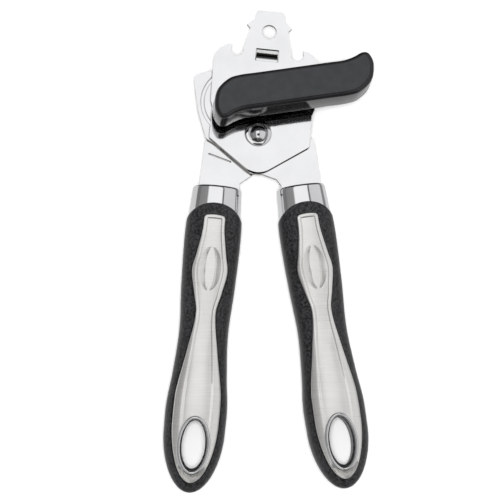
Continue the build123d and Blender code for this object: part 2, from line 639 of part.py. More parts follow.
with BuildPart() as turn_knob:
    add(knob_face(spindle_plane(KNOB_LEVEL, KNOB_TURN)))
    extrude(amount=KNOB_HEIGHT)
    add(knob_face(spindle_plane(KNOB_LEVEL, KNOB_TURN), KNOB_WALL))
    extrude(amount=KNOB_HEIGHT - KNOB_WALL, mode=Mode.SUBTRACT)
    # stiffening ribs across the hollow, clear of the plate below
    with BuildSketch(spindle_plane(KNOB_LEVEL + KNOB_RIB_LIFT, KNOB_TURN)):
        with Locations(*[(k * KNOB_RIB_SPACING, 0) for k in (-2, -1, 1, 2)]):
            Rectangle(KNOB_RIB, 2 * KNOB_HALF_WIDTH - KNOB_WALL)
    extrude(amount=KNOB_HEIGHT - KNOB_WALL)
    with BuildSketch(spindle_plane(HUB_LEVEL)):
        Circle(KNOB_HUB_RADIUS)
    extrude(amount=KNOB_LEVEL + KNOB_HEIGHT - HUB_LEVEL - KNOB_WALL / 2)
    add(double_flat(spindle_plane(0), SHAFT_RADIUS + SEAT_FIT, SHAFT_FLAT + 2 * SEAT_FIT))
    extrude(amount=SHAFT_TOP + SEAT_FIT, mode=Mode.SUBTRACT)
    fillet(turn_knob.faces().sort_by(Axis.Z)[-1].edges(), KNOB_ROUND)

# ---------------------------------------------------------------- cutter
with BuildPart() as cutter_stud:
    with BuildSketch(cutter_plane(0)):
        Circle(STUD_FOOT_RADIUS)
    extrude(amount=STUD_FOOT)
    chamfer(cutter_stud.edges().group_by(Axis.Z)[0], FOOT_EDGE)
    with BuildSketch(cutter_plane(STUD_FOOT)):
        Circle(STUD_RADIUS)
    extrude(amount=RIGHT_ARM_LEVEL + ARM_SHEET - STUD_FOOT)

with BuildPart() as cutter_wheel:
    with BuildSketch(cutter_plane(CUTTER_LEVEL)):
        Circle(CUTTER_RADIUS)
    extrude(amount=CUTTER_THICKNESS)
    edge = cutter_wheel.edges().group_by(Axis.Z)[-1]
    chamfer(edge, CUTTER_THICKNESS - 0.1, CUTTER_BEVEL)
    with BuildSketch(cutter_plane(CUTTER_LEVEL)):
        Circle(CUTTER_HUB_RADIUS)
    extrude(amount=GEAR_LEVEL - CUTTER_LEVEL - SEAT_FIT)
    with BuildSketch(cutter_plane(0)):
        Circle(CUTTER_BUSH_RADIUS + SEAT_FIT)
    extrude(amount=GEAR_TOP, mode=Mode.SUBTRACT)

with BuildPart() as cutter_gear:
    add(gear_face(cutter_plane(GEAR_LEVEL, MESH_ANGLE + 180 + 180 / TEETH)))
    extrude(amount=GEAR_WIDTH)
    with BuildSketch(cutter_plane(0)):
        Circle(CUTTER_BUSH_RADIUS + SEAT_FIT)
    extrude(amount=2 * GEAR_TOP, mode=Mode.SUBTRACT)

with BuildPart() as cutter_bush:
    with BuildSketch(cutter_plane(CUTTER_LEVEL)):
        Circle(CUTTER_BUSH_RADIUS)
        Circle(STUD_RADIUS + CUTTER_FIT, mode=Mode.SUBTRACT)
    extrude(amount=GEAR_TOP - CUTTER_LEVEL)

with BuildPart() as cutter_spacer:
    with BuildSketch(cutter_plane(GEAR_TOP + THRUST_GAP)):
        Circle(CUTTER_SPACER_RADIUS)
        Circle(STUD_RADIUS + SEAT_FIT, mode=Mode.SUBTRACT)
    extrude(amount=RIGHT_ARM_LEVEL - GEAR_TOP - THRUST_GAP)

# ---------------------------------------------------------------- assembly
pieces = {
    "front_plate": front_plate, "left_arm": left_arm, "plate_spacers": plate_spacers,
    "spindle_bushing": spindle_bushing, "pivot_rivet": pivot_rivet, "pivot_washer": pivot_washer,
    "right_arm": right_arm, "cutter_stud": cutter_stud, "cutter_spacer": cutter_spacer,
    "turn_knob": turn_knob, "drive_shaft": drive_shaft, "drive_gear": drive_gear,
    "feed_wheel": feed_wheel, "thrust_washer": thrust_washer,
    "cutter_wheel": cutter_wheel, "cutter_gear": cutter_gear, "cutter_bush": cutter_bush,
}
for side in SIDES:
    pieces[f"{side}_ferrule"] = ferrule(side)
    pieces[f"{side}_core"] = core(side)
    pieces[f"{side}_tang_pins"] = tang_pins(side)
    pieces[f"{side}_grip"] = grip(side)
    pieces[f"{side}_inlay"] = inlay(side)

# The kept frame has its origin under the middle of the whole opener
whole = Compound([piece.part for piece in pieces.values()]).bounding_box()
shift = Location((-whole.center().X, -whole.center().Y, 0))
os.makedirs("parts", exist_ok=True)
for name, piece in pieces.items():
    placed = piece.part.moved(shift)
    placed.label = name
    export_step(placed, f"parts/{name}.step")

for name, plane in (("pivot", lever_plane("left", FRONT_TOP)), ("spindle", spindle_plane(0)),
                    ("cutter", cutter_plane(0)), ("left eye", handle_plane("left", 0, EYE_AT)),
                    ("right eye", handle_plane("right", 0, EYE_AT)),
                    ("hang hole", lever_plane("left", FRONT_LEVEL, (PLATE_CENTRE, HANG_HOLE_AT)))):
    point = (shift * Location(plane.origin)).position
    print(f"{name}: {point.X:.3f} {point.Y:.3f} {point.Z:.3f}")
print(f"size: {whole.size.X:.2f} {whole.size.Y:.2f} {whole.size.Z:.2f}, closes by {CLOSED_TURN:.1f}")
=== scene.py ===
import json
from math import asin, atan2, cos, hypot, pi, radians, sin, sqrt, tan

import bmesh
import bpy
from bpy.props import FloatProperty, FloatVectorProperty, PointerProperty
from mathutils import Matrix, Vector


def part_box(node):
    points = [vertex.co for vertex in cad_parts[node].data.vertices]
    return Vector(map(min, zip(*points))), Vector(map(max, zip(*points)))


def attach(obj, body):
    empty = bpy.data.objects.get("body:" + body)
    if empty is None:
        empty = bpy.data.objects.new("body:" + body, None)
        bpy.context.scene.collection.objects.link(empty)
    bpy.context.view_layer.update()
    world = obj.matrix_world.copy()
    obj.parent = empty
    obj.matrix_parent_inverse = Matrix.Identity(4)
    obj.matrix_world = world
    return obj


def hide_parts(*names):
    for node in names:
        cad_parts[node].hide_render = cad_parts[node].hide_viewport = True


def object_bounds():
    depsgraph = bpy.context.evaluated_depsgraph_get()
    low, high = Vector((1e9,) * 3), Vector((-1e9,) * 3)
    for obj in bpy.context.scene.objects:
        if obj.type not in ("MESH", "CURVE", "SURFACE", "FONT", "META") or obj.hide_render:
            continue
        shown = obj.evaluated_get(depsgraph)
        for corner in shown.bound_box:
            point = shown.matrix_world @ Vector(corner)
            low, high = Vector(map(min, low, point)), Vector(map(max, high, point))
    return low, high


bl_info = {
    "name": "Hand Can Opener",
    "version": (1, 0, 0),
    "blender": (4, 5, 0),
    "location": "View3D > Sidebar > Can Opener",
    "description": "Dresses a hand can opener in chrome, brushed steel and soft rubber",
    "category": "Object",
}

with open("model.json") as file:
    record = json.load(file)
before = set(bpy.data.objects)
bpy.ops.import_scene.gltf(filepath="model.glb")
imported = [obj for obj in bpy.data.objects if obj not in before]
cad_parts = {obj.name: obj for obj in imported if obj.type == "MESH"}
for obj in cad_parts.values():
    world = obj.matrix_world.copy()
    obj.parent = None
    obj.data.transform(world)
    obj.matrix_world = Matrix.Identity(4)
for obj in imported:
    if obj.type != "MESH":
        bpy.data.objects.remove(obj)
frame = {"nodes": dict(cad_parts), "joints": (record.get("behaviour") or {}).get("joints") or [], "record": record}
CAD_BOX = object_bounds()
JOINTS = {joint["name"]: Vector(joint["pos_m"]) for joint in frame["joints"]}
MOUNTS = {mount["name"]: Vector(mount["pos_m"]) for mount in frame["record"]["mounts"]}

MM = 0.001
SIDES = ("left", "right")

# ------------------------------------------------------------------ handle form
# Millimetres in a lever's own frame: x across from the handle's axis, drop down
# the handle from the pivot, z up.  The axis stands off the pivot by HANDLE_OFFSET.
HANDLE_OFFSET = 15.0
HANDLE_HEIGHT = 9.5
SQUARENESS = 2.5
HALF_WIDTHS = ((26, 10.7), (44, 11.9), (68, 11.3), (87, 10.3), (105, 11.4), (118, 12.75),
               (129, 12.7))
HALF_THICKNESSES = ((26, 8.5), (44, 9.2), (68, 9.1), (87, 8.6), (105, 8.9), (118, 9.4),
                    (129, 9.4))
CAP_START = 129.0           # from here the grip closes like the end of an egg
HANDLE_TIP = 153.5
CAP_POWER = 1.8
ARCH_RADIUS = 14.2          # arched upper end of the grip
ARCH_CENTRE = 46.8
GRIP_LIP = 1.0              # rounding of that end
FERRULE_TOP = 25.0
FERRULE_FOOT = 39.5
FERRULE_HALF_WIDTHS = (10.3, 11.1)
FERRULE_HALF_THICKNESSES = (8.2, 8.7)
FERRULE_SHOULDER = 1.3      # rounding of the ferrule's upper edge
FERRULE_OVERLAP = 0.35      # how far the ferrule reaches past the grip's arch
RING = 96                   # points round a handle section

# Inlay
INLAY_TOP = 38.6
INLAY_TIP = 149.6
INLAY_HALF_WIDTHS = ((38.6, 4.4), (45, 4.6), (55, 6.2), (62, 7.4), (71, 5.8), (80, 4.1),
                     (95, 6.2), (112, 9.2), (119, 9.55), (125, 9.55))
INLAY_CAP_START = 125.0
INLAY_CAP_ROUND = 0.5
INLAY_DEPTH = 1.0
INLAY_CORNER = 1.3          # rounding of the inlay's upper corners
INLAY_BOW = 0.55            # bow of its upper edge
BORDERS = ((38.6, 1.6), (62, 2.0), (80, 1.7), (95, 2.5), (112, 3.9), (125, 4.2))
LIP_LIFT = 0.14             # how far the border is rolled up towards the inlay's edge
FACE_SINK = 0.42            # face below the border
SINK_SHARE = 0.2            # share of the border taken up by the slope down to the face
EDGE_ROLL = 0.32            # inlay's edge rolled over, this far in
EDGE_DROP = 0.28            # and this far down
DISH_AT = 61.2
DISH_HALF_LENGTH = 9.1
DISH_HALF_WIDTH = 4.8
SPINE_HALF_WIDTH = 2.1      # flush strip between the dish's two crescents
SPINE_WALL = 0.25
HEEL_FROM = 146.2           # hollow between the eye and the tip
HEEL_TO = 148.9
HEEL_SLOPE = 0.8
EYE_AT = 134.4
EYE_HALF_WIDTH = 5.3
EYE_HALF_LENGTH = 10.4
RIM_RADIUS = 0.8            # rolled rim of the eye
THROAT_AT = 133.9           # eye through the rubber
THROAT_HALF_WIDTH = 4.7
THROAT_HALF_LENGTH = 9.6
THROAT_LEVELS = ((-0.6, 2.2), (0.8, 1.4), (2.2, 1.1), (2 * HANDLE_HEIGHT, 0.0), (30.0, 0.0))
ABOVE_ALL = 30.0            # clear above every surface, for cutters

# ------------------------------------------------------------------ turning knob
KNOB_TURN = 9.2
KNOB_RIM = 19.4             # open edge of the hollow back
KNOB_HALF_WIDTH = 8.1
KNOB_STRAIGHT = 22.0
KNOB_NOSE = ((26.5, 9.0), (30.6, 10.4), (33.6, 9.3), (35.0, 4.4), (32.9, -2.6), (27.4, -7.0))
KNOB_ROUND = 1.9
KNOB_HOLLOW = ((0.0, 0.2), (0.0, 1.7), (0.2, 1.9))    # height over the rim, inset
KNOB_CEILING = 2.0          # hollow's ceiling below the knob's face
KNOB_CEILING_INSET = 2.1
KNOB_RIBS = (-24.0, -12.0, 12.0, 24.0)
RIB_THICKNESS = 1.4
RIB_REACH = KNOB_HALF_WIDTH - 1.2
RIB_GAP = 1.2               # between a rib and the knob's rim, and its face
HUB_BORE = 3.6
HUB_RADIUS = 5.2
HUB_TOP = 1.5               # hub's end below the knob's face

# ------------------------------------------------------------------ stage
# Brightness of the surroundings by degrees from overhead, left (-) to right (+)
STUDIO_CARDS = ((-180, 0.66), (-88, 0.66), (-84, 0.2), (-60, 0.18), (-56, 0.24), (-20, 0.28),
                (-16, 0.97), (12, 0.97), (13.5, 0.10), (16, 0.10), (17.5, 0.66), (74, 0.66),
                (79, 0.25), (100, 0.25), (106, 0.66), (180, 0.66))
STUDIO_END = 0.12           # brightness of the surroundings' far ends
SPOT_AIM = (0.05, -0.26, 0.96)    # dark spot overhead
SPOT_LEVEL = 0.04
SPOT_DEGREES = (14, 11)
LAMPS = (("overhead_fill", (0.0, 0.1, 1.6), 2.4, 13.0),       # place, size, power
         ("front_fill", (-0.044, -0.102, 0.61), 0.12, 3.0))
FLOOR_SIZE = 6.0
FLOOR_LEVEL = -0.0001
CAMERA_DISTANCE = 0.6
CAMERA_LENS = 102.2
CAMERA_LEANS = (3.5, 9.5)   # degrees to the left of and below overhead
CAMERA_AIM = (-0.00788, -0.0020, 0.012)    # from the middle of the part's plan


# ------------------------------------------------------------------ user settings
class OpenerSizes(bpy.types.PropertyGroup):
    """Sizes a user would change"""

    inlay_proud: FloatProperty(name="Inlay proud", default=0.45 * MM, min=0.0, unit="LENGTH",
                               description="How far the inlay stands above the rubber")
    groove: FloatProperty(name="Groove", description="Shadow gap between inlay and rubber",
                          default=0.6 * MM, min=0.0, unit="LENGTH")
    dish_depth: FloatProperty(name="Thumb dish", default=1.1 * MM, min=0.0, unit="LENGTH",
                              description="Depth of the thumb dish's crescents")
    plate_edge: FloatProperty(name="Plate edge", default=0.3 * MM, min=0.0, unit="LENGTH",
                              description="Width of the broken edge on the plates")
    knob_draft: FloatProperty(name="Knob draft", description="How far the knob's face is drawn in",
                              default=0.45 * MM, min=0.0, unit="LENGTH")


class OpenerColours(bpy.types.PropertyGroup):
    """Colours a user would change"""

    chrome: FloatVectorProperty(name="Chrome", description="Tint of the chromed plates",
                                subtype="COLOR", size=3, min=0.0, max=1.0,
                                default=(0.90, 0.905, 0.915))
    steel: FloatVectorProperty(name="Steel", description="Tint of the brushed inlays",
                               subtype="COLOR", size=3, min=0.0, max=1.0,
                               default=(0.88, 0.87, 0.85))
    gear: FloatVectorProperty(name="Gear steel", description="Tint of the gears and wheels",
                              subtype="COLOR", size=3, min=0.0, max=1.0, default=(0.50, 0.49, 0.48))
    rubber: FloatVectorProperty(name="Rubber", description="Colour of the grips", subtype="COLOR",
                                size=3, min=0.0, max=1.0, default=(0.014, 0.014, 0.015))
    knob: FloatVectorProperty(name="Knob", description="Colour of the knob's gloss walls",
                              subtype="COLOR", size=3, min=0.0, max=1.0,
                              default=(0.010, 0.010, 0.011))
    knob_face: FloatVectorProperty(name="Knob face", description="Colour of the knob's satin face",
                                   subtype="COLOR", size=3, min=0.0, max=1.0,
                                   default=(0.021, 0.0225, 0.025))
    floor: FloatVectorProperty(name="Floor", description="Colour of the floor", subtype="COLOR",
                               size=3, min=0.0, max=1.0, default=(0.93, 0.93, 0.93))


def sizes():
    return bpy.context.scene.opener_sizes


def colours():
    return bpy.context.scene.opener_colours


# ------------------------------------------------------------------ frames
def lever_place(side):
    """Lever's frame, found from the pivot and the eye in its handle."""
    pivot, eye = JOINTS["handle_pivot"], MOUNTS[f"{side}_eye"]
    across = HANDLE_OFFSET * (-1 if side == "left" else 1)
    reach = hypot(eye.x - pivot.x, eye.y - pivot.y) / MM
    along = sqrt(reach ** 2 - across ** 2)
    lean = atan2(eye.y - pivot.y, eye.x - pivot.x) - atan2(-along, across)
    return Matrix.Translation((pivot.x, pivot.y, 0)) @ Matrix.Rotation(lean, 4, "Z"), across


def handle_place(side):
    """Handle's frame, centred on its own axis at the pivot's level."""
    place, across = lever_place(side)
    return place @ Matrix.Translation((across * MM, 0, 0))


def axle_place(joint, turn=0.0):
    """Frame on a turning part's axle, at the surface below."""
    at = JOINTS[joint]
    return Matrix.Translation((at.x, at.y, 0)) @ Matrix.Rotation(radians(turn), 4, "Z")


# ------------------------------------------------------------------ curves
def eased(rows, at):
    """Smooth curve through rows of (position, value)."""
    at = min(max(at, rows[0][0]), rows[-1][0])
    slopes = []
    for index in range(len(rows)):
        before, after = rows[max(index - 1, 0)], rows[min(index + 1, len(rows) - 1)]
        slopes.append((after[1] - before[1]) / (after[0] - before[0]))
    for index, ((s0, v0), (s1, v1)) in enumerate(zip(rows, rows[1:])):
        if at <= s1:
            span = s1 - s0
            t = (at - s0) / span
            m0, m1 = slopes[index] * span, slopes[index + 1] * span
            return ((2 * t ** 3 - 3 * t ** 2 + 1) * v0 + (t ** 3 - 2 * t ** 2 + t) * m0
                    + (3 * t ** 2 - 2 * t ** 3) * v1 + (t ** 3 - t ** 2) * m1)
    return rows[-1][1]


def cap_share(drop, start, tip, root=0.5):
    """1 at the start of a rounded end and 0 at its tip."""
    share = min(max((drop - start) / (tip - start), 0.0), 1.0)
    return (1 - share ** CAP_POWER) ** root


def handle_half_sizes(drop):
    close = cap_share(drop, CAP_START, HANDLE_TIP) if drop > CAP_START else 1.0
    return eased(HALF_WIDTHS, drop) * close, eased(HALF_THICKNESSES, drop) * close


def handle_top(x, drop):
    """Height of the handle's front surface."""
    half_width, half_thickness = handle_half_sizes(drop)
    share = min(abs(x) / max(half_width, 0.01), 0.999)
    return HANDLE_HEIGHT + half_thickness * (1 - share ** SQUARENESS) ** (1 / SQUARENESS)


def inlay_half_width(drop):
    close = 1.0
    if drop > INLAY_CAP_START:
        close = cap_share(drop, INLAY_CAP_START, INLAY_TIP, INLAY_CAP_ROUND)
    corner = INLAY_CORNER - min(drop - INLAY_TOP, INLAY_CORNER)
    inset = INLAY_CORNER - sqrt(INLAY_CORNER ** 2 - corner ** 2)
    return eased(INLAY_HALF_WIDTHS, drop) * close - inset


def bowed(x, drop):
    """Place along the handle of an inlay point, with the upper edge bowed upwards."""
    fade = max(0.0, 1 - (drop - INLAY_TOP) / 8.0) ** 2
    return -(drop - INLAY_BOW * fade * (1 - (x / INLAY_HALF_WIDTHS[0][1]) ** 2))


def squared_oval(angle, half_width, half_thickness):
    across, up = cos(angle), sin(angle)
    reach = (abs(across) ** SQUARENESS + abs(up) ** SQUARENESS) ** (-1 / SQUARENESS)
    return across * reach * half_width, up * reach * half_thickness


def arch_drop(x):
    """Where the grip's arched end lies, at a distance from the handle's axis."""
    return ARCH_CENTRE - sqrt(max(ARCH_RADIUS ** 2 - x ** 2, 0.0))


def rounded_loop(points, per_span):
    """Closed smooth loop through points."""
    loop, count = [], len(points)
    for index in range(count):
        p0, p1, p2, p3 = (Vector(points[(index + k) % count]) for k in (-1, 0, 1, 2))
        for step in range(per_span):
            t = step / per_span
            loop.append(0.5 * (2 * p1 + (p2 - p0) * t + (2 * p0 - 5 * p1 + 4 * p2 - p3) * t ** 2
                               + (3 * p1 - p0 - 3 * p2 + p3) * t ** 3))
    return loop


def drawn_in(loop, amount):
    """Loop moved inwards, square to itself.  The loop runs anticlockwise."""
    moved = []
    for index, point in enumerate(loop):
        run = loop[(index + 1) % len(loop)] - loop[index - 1]
        run.normalize()
        moved.append(Vector((point.x - run.y * amount, point.y + run.x * amount)))
    return moved


# ------------------------------------------------------------------ meshes
def mesh_piece(name, points, faces, place, smooth_below=35.0):
    """Object from points in millimetres, in a place's frame."""
    mesh = bpy.data.meshes.new(name)
    mesh.from_pydata([Vector(point) * MM for point in points], [], faces)
    shaped = bmesh.new()
    shaped.from_mesh(mesh)
    bmesh.ops.remove_doubles(shaped, verts=shaped.verts, dist=1e-7)
    bmesh.ops.recalc_face_normals(shaped, faces=shaped.faces)
    shaped.to_mesh(mesh)
    shaped.free()
    piece = bpy.data.objects.new(name, mesh)
    bpy.context.scene.collection.objects.link(piece)
    piece.matrix_world = place
    soften(mesh, smooth_below)
    return piece


def soften(mesh, smooth_below=35.0):
    mesh.shade_smooth()
    mesh.set_sharp_from_angle(angle=radians(smooth_below))


def rings_to_faces(rings, closed=True):
    """Points and quads that join rings of equal length; a ring of one point closes an end."""
    points, starts = [], []
    for ring in rings:
        starts.append(len(points))
        points.extend(ring)
    faces = []
    for (a, ring_a), (b, ring_b) in zip(zip(starts, rings), zip(starts[1:], rings[1:])):
        count = max(len(ring_a), len(ring_b))
        for index in range(count if closed else count - 1):
            after = (index + 1) % count
            if len(ring_a) == 1:
                faces.append((a, b + index, b + after))
            elif len(ring_b) == 1:
                faces.append((a + index, b, a + after))
            else:
                faces.append((a + index, b + index, b + after, a + after))
    return points, faces


def lathe(name, profile, place, segments=96):
    """Turned piece from a closed profile of (radius, height)."""
    rings = []
    for radius, height in [*profile, profile[0]]:
        if radius < 1e-6:
            rings.append([(0.0, 0.0, height)])
        else:
            turns = [2 * pi * k / segments for k in range(segments)]
            rings.append([(radius * cos(turn), radius * sin(turn), height) for turn in turns])
    rings = [ring for index, ring in enumerate(rings) if index == 0 or ring != rings[index - 1]]
    return mesh_piece(name, *rings_to_faces(rings), place)


def carve(piece, cutter):
    """Cuts a cutter's shape out of a piece, for good."""
    knife = piece.modifiers.new("carve", "BOOLEAN")
    knife.operation = "DIFFERENCE"
    knife.solver = "EXACT"
    knife.object = cutter
    bpy.context.view_layer.update()
    graph = bpy.context.evaluated_depsgraph_get()
    carved = bpy.data.meshes.new_from_object(piece.evaluated_get(graph))
    piece.modifiers.clear()
    piece.data = carved
    bpy.data.objects.remove(cutter)


def joined(first, *others):
    """Adds other pieces' meshes to the first piece."""
    shaped = bmesh.new()
    shaped.from_mesh(first.data)
    for other in others:
        index = len(first.data.materials)
        for material in other.data.materials:
            first.data.materials.append(material)
        moved = other.data.copy()
        moved.transform(first.matrix_world.inverted() @ other.matrix_world)
        for face in moved.polygons:
            face.material_index += index
        shaped.from_mesh(moved)
        bpy.data.objects.remove(other)
    shaped.to_mesh(first.data)
    shaped.free()
    return first


def finish_piece(piece, body, slot, *stands_for):
    """Sets a piece down in the shared frame and on its body; the slot is not used."""
    piece.data.transform(piece.matrix_world)
    piece.matrix_world = Matrix.Identity(4)
    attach(piece, body)
    if stands_for:
        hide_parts(*stands_for)
    return piece


# ------------------------------------------------------------------ materials
def shader_of(name):
    """New material, its node tree and its shader."""
    material = bpy.data.materials.new(name)
    material.use_nodes = True
    tree = material.node_tree
    return material, tree, tree.nodes["Principled BSDF"]


def noise(tree, scale, detail=3.0, stretch=(1.0, 1.0, 1.0)):
    """Noise over the piece's own coordinates, stretched along its axes."""
    coordinates = tree.nodes.new("ShaderNodeTexCoord")
    mapping = tree.nodes.new("ShaderNodeMapping")
    mapping.inputs["Scale"].default_value = stretch
    texture = tree.nodes.new("ShaderNodeTexNoise")
    texture.inputs["Scale"].default_value = scale
    texture.inputs["Detail"].default_value = detail
    tree.links.new(coordinates.outputs["Object"], mapping.inputs["Vector"])
    tree.links.new(mapping.outputs["Vector"], texture.inputs["Vector"])
    return texture.outputs["Fac"]


def ramp(tree, value, low, high, start=0.35, end=0.65):
    """Two colours blended over a value."""
    blend = tree.nodes.new("ShaderNodeValToRGB")
    blend.color_ramp.elements[0].position = start
    blend.color_ramp.elements[1].position = end
    blend.color_ramp.elements[0].color = (*low, 1.0)
    blend.color_ramp.elements[1].color = (*high, 1.0)
    tree.links.new(value, blend.inputs["Fac"])
    return blend.outputs["Color"]


def graded(tree, value, low, high):
    """Value spread between two numbers."""
    spread = tree.nodes.new("ShaderNodeMapRange")
    spread.inputs["From Min"].default_value = 0.3
    spread.inputs["From Max"].default_value = 0.7
    spread.inputs["To Min"].default_value = low
    spread.inputs["To Max"].default_value = high
    tree.links.new(value, spread.inputs["Value"])
    return spread.outputs["Result"]


def multiplied(tree, colour, shade, amount=1.0):
    """Colour darkened by another one."""
    mix = tree.nodes.new("ShaderNodeMix")
    mix.data_type = "RGBA"
    mix.blend_type = "MULTIPLY"
    mix.inputs["Factor"].default_value = amount
    tree.links.new(colour, mix.inputs["A"])
    tree.links.new(shade, mix.inputs["B"])
    return mix.outputs["Result"]


def calculated(tree, operation, *values):
    """Result of an operation on values."""
    node = tree.nodes.new("ShaderNodeMath")
    node.operation = operation
    for value, socket in zip(values, node.inputs):
        tree.links.new(value, socket)
    return node.outputs["Value"]


def bumped(tree, shader, value, depth, strength=1.0, under=None):
    """Relief of a depth in metres."""
    bump = tree.nodes.new("ShaderNodeBump")
    bump.inputs["Strength"].default_value = strength
    bump.inputs["Distance"].default_value = depth
    tree.links.new(value, bump.inputs["Height"])
    if under is not None:
        tree.links.new(under, bump.inputs["Normal"])
    tree.links.new(bump.outputs["Normal"], shader.inputs["Normal"])
    return bump.outputs["Normal"]


def tinted(colour, share):
    return tuple(min(channel * share, 1.0) for channel in colour)


def worn(tree, colour, wear, sharpness=(0.52, 0.58)):
    """Colour that turns to wear along the piece's sharp edges."""
    geometry = tree.nodes.new("ShaderNodeNewGeometry")
    edge = ramp(tree, geometry.outputs["Pointiness"], (0, 0, 0), (1, 1, 1), *sharpness)
    mix = tree.nodes.new("ShaderNodeMix")
    mix.data_type = "RGBA"
    tree.links.new(edge, mix.inputs["Factor"])
    tree.links.new(colour, mix.inputs["A"])
    mix.inputs["B"].default_value = (*wear, 1.0)
    return mix.outputs["Result"]


def tilt_shaded(tree, colour, steel):
    """Colour darkened by a painted shade, given as steel, on every face tilted away from level, such as a plate's
    cut edges and bends.
    """
    geometry = tree.nodes.new("ShaderNodeNewGeometry")
    parts = tree.nodes.new("ShaderNodeSeparateXYZ")
    tree.links.new(geometry.outputs["Normal"], parts.inputs["Vector"])
    level = calculated(tree, "ABSOLUTE", parts.outputs["Z"])
    return multiplied(tree, colour, ramp(tree, level, steel, (1, 1, 1), 0.80, 0.985))


def chrome_material(name, roughness, tilt_shade=None):
    """Bright plating with faint cloudiness, hairlines and a slight ripple, with painted shade in its crevices and,
    where a shade colour is given, on its tilted faces.
    """
    material, tree, shader = shader_of(name)
    tint = tuple(colours().chrome)
    shader.inputs["Metallic"].default_value = 1.0
    colour = ramp(tree, noise(tree, 90.0), tinted(tint, 0.95), tint)
    # Painted shade: the colour darkens where the ambient occlusion finds crevices and overlaps between plates.
    crevice = tree.nodes.new("ShaderNodeAmbientOcclusion")
    crevice.samples = 8
    crevice.inputs["Distance"].default_value = 0.9 * MM
    tree.links.new(colour, crevice.inputs["Color"])
    painted_crevice_shade = ramp(tree, crevice.outputs["AO"], (0.10, 0.09, 0.08), (1, 1, 1), 0.45, 0.85)
    surface = multiplied(tree, colour, painted_crevice_shade)
    # Painted shade on the faces that tilt away from level.
    if tilt_shade:
        surface = tilt_shaded(tree, surface, tilt_shade)
    tree.links.new(surface, shader.inputs["Base Color"])
    hairlines = noise(tree, 260.0, 4.0, (1.0, 9.0, 1.0))
    tree.links.new(graded(tree, hairlines, roughness, roughness * 2.2), shader.inputs["Roughness"])
    ripple = bumped(tree, shader, noise(tree, 45.0, 1.0), 0.00002, 0.5)
    bumped(tree, shader, hairlines, 0.0000012, 0.4, ripple)
    return material


def brushed_material(name):
    """Stainless steel brushed across the handle."""
    material, tree, shader = shader_of(name)
    tint = tuple(colours().steel)
    shader.inputs["Metallic"].default_value = 0.9
    shader.inputs["Anisotropic"].default_value = 0.5
    grain = noise(tree, 500.0, 4.0, (0.12, 9.0, 0.12))
    patches = noise(tree, 60.0, 2.0, (1.0, 2.5, 1.0))
    colour = ramp(tree, grain, tinted(tint, 0.93), tinted(tint, 1.05), 0.3, 0.7)
    shade = ramp(tree, patches, (0.93, 0.93, 0.93), (1, 1, 1))
    tree.links.new(multiplied(tree, colour, shade, 0.5), shader.inputs["Base Color"])
    tree.links.new(graded(tree, grain, 0.27, 0.35), shader.inputs["Roughness"])
    bumped(tree, shader, grain, 0.000001, 0.1)
    return material


def machined_material(name, tint, roughness):
    """Turned or stamped steel, a little uneven and bright on its edges."""
    material, tree, shader = shader_of(name)
    shader.inputs["Metallic"].default_value = 1.0
    blotches = noise(tree, 380.0, 5.0)
    colour = ramp(tree, blotches, tinted(tint, 0.72), tint)
    tree.links.new(worn(tree, colour, tinted(tint, 1.5)), shader.inputs["Base Color"])
    tree.links.new(graded(tree, blotches, roughness, roughness * 1.7), shader.inputs["Roughness"])
    bumped(tree, shader, noise(tree, 1600.0, 3.0), 0.00001, 0.6)
    return material


def rubber_material(name):
    """Soft-touch rubber with a fine moulded speckle."""
    material, tree, shader = shader_of(name)
    tint = tuple(colours().rubber)
    speckle = noise(tree, 1100.0, 2.0)
    colour = ramp(tree, speckle, tinted(tint, 0.2), tinted(tint, 2.4), 0.36, 0.64)
    tree.links.new(colour, shader.inputs["Base Color"])
    tree.links.new(graded(tree, speckle, 0.46, 0.62), shader.inputs["Roughness"])
    shader.inputs["Sheen Weight"].default_value = 0.12
    shader.inputs["Sheen Roughness"].default_value = 0.45
    shader.inputs["Specular IOR Level"].default_value = 0.30
    swell = bumped(tree, shader, noise(tree, 120.0, 2.0), 0.00003, 0.3)
    bumped(tree, shader, speckle, 0.00009, 1.0, swell)
    return material


def moulded_material(name, tint, low, high, peel, wear):
    """Hard moulded plastic, from gloss to satin."""
    material, tree, shader = shader_of(name)
    colour = ramp(tree, noise(tree, 240.0, 3.0), tinted(tint, 0.88), tinted(tint, 1.12))
    tree.links.new(worn(tree, colour, wear), shader.inputs["Base Color"])
    tree.links.new(graded(tree, noise(tree, 700.0, 4.0), low, high), shader.inputs["Roughness"])
    shader.inputs["Specular IOR Level"].default_value = 0.5
    bumped(tree, shader, noise(tree, *peel[:2]), peel[2], 0.6)
    return material


def floor_material():
    """Pale matt card with the least mottle."""
    material, tree, shader = shader_of("floor_card")
    tint = tuple(colours().floor)
    colour = ramp(tree, noise(tree, 6.0), tinted(tint, 0.995), tint)
    tree.links.new(colour, shader.inputs["Base Color"])
    shader.inputs["Roughness"].default_value = 0.9
    shader.inputs["Specular IOR Level"].default_value = 0.1
    return material


